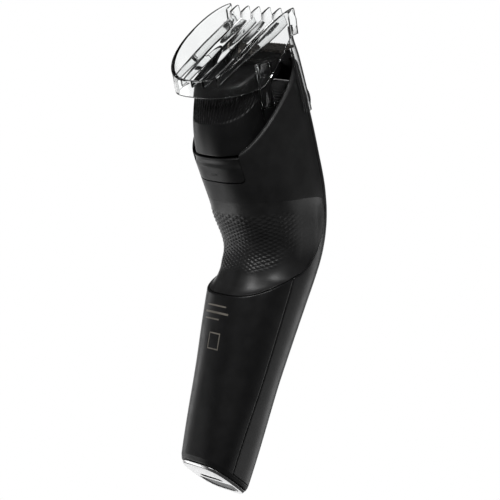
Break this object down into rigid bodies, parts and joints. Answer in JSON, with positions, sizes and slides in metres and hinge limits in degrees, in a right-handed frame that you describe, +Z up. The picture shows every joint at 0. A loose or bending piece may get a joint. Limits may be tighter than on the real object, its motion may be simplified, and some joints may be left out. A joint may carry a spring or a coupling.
{
  "type": "beard trimmer",
  "caption": "Cordless beard trimmer with a bent handle, textured grip, lift-off cutting head, zoom wheel and clear sliding length comb.",
  "frame": {"origin": "middle of the end cap's flat face at the base, under the spine", "axes": "+Z up from the end cap, the handle leaning towards +Y; +Y is the back with the label side and the grip, -Y the front with the button and the zoom wheel; X across the head"},
  "size_m": [0.042, 0.1097, 0.1567],
  "materials": {
    "housing_satin": "satin",
    "housing_gloss": "satin",
    "grip_black": "matte",
    "silver_cap": "brushed",
    "dark_plastic": "matte",
    "steel": "brushed",
    "battery_wrap": "gloss",
    "board": "matte",
    "light_guide": "gloss",
    "seal_rubber": "matte",
    "wheel_grey": "matte",
    "white_plastic": "matte",
    "head_black": "satin",
    "blade_steel": "brushed",
    "clear_comb": "clear"
  },
  "bodies": {
    "housing": {"front_housing": "housing_satin", "rear_cover": "housing_gloss", "grip_housing": "grip_black", "head_housing": "housing_satin", "end_cap": "silver_cap", "charging_socket": "dark_plastic", "charge_pin_left": "steel", "charge_pin_right": "steel", "battery": "battery_wrap", "battery_tab_bottom": "steel", "battery_tab_top": "steel", "circuit_board": "board", "button_switch": "dark_plastic", "indicator_light": "light_guide", "base_screw_left": "steel", "base_screw_right": "steel", "motor": "steel", "motor_chassis": "dark_plastic", "drive_seal": "seal_rubber", "deck_screw_left": "steel", "deck_screw_right": "steel", "detent_spring": "steel", "release_spring": "steel"},
    "power_button": {"power_button": "dark_plastic"},
    "release_tab": {"release_tab": "housing_satin"},
    "zoom_wheel": {"zoom_wheel": "wheel_grey", "wheel_axle": "steel", "pinion_left": "white_plastic", "pinion_right": "white_plastic"},
    "zoom_carriage": {"zoom_carriage": "dark_plastic"},
    "drive_shaft": {"drive_shaft": "steel", "eccentric": "white_plastic"},
    "cutting_head": {"cutting_head_housing": "head_black", "blade_carrier": "dark_plastic", "fixed_blade": "blade_steel"},
    "cutter": {"moving_blade": "blade_steel", "drive_fork": "white_plastic"},
    "comb": {"comb": "clear_comb"}
  },
  "joints": [
    {"name": "power_button_press", "type": "slide", "parent": "housing", "child": "power_button", "axis": [0, 0.7938, -0.6082], "range_m": [0, 0.0008], "stiffness_N_per_m": 1500},
    {"name": "release_tab_press", "type": "slide", "parent": "housing", "child": "release_tab", "axis": [0, -0.6428, 0.766], "range_m": [0, 0.0012], "stiffness_N_per_m": 1500},
    {"name": "zoom_wheel_turn", "type": "hinge", "parent": "housing", "child": "zoom_wheel", "pos_m": [0, 0.05991, 0.13285], "axis": [1, 0, 0], "range_deg": [-71.64, 167.13]},
    {"name": "zoom_carriage_slide", "type": "slide", "parent": "housing", "child": "zoom_carriage", "axis": [0, 0.766, 0.6428], "range_m": [-0.003, 0.007]},
    {"name": "drive_shaft_turn", "type": "hinge", "parent": "housing", "child": "drive_shaft", "pos_m": [0, 0.06216, 0.11072], "axis": [0, 0.766, 0.6428], "range_deg": [-50, 50]},
    {"name": "cutting_head_lift", "type": "slide", "parent": "housing", "child": "cutting_head", "axis": [0, 0.766, 0.6428], "range_m": [0, 0.025]},
    {"name": "cutter_stroke", "type": "slide", "parent": "cutting_head", "child": "cutter", "axis": [1, 0, 0], "range_m": [-0.00104, 0.00104]},
    {"name": "comb_zoom", "type": "slide", "parent": "cutting_head", "child": "comb", "axis": [0, 0.766, 0.6428], "range_m": [-0.003, 0.007]}
  ],
  "couplings": [
    {"joint": "zoom_wheel_turn", "follows": "zoom_carriage_slide", "rad_per_m": 416.67},
    {"joint": "comb_zoom", "follows": "zoom_carriage_slide", "ratio": 1},
    {"joint": "drive_shaft_turn", "follows": "cutter_stroke", "rad_per_m": -833.33}
  ]
}
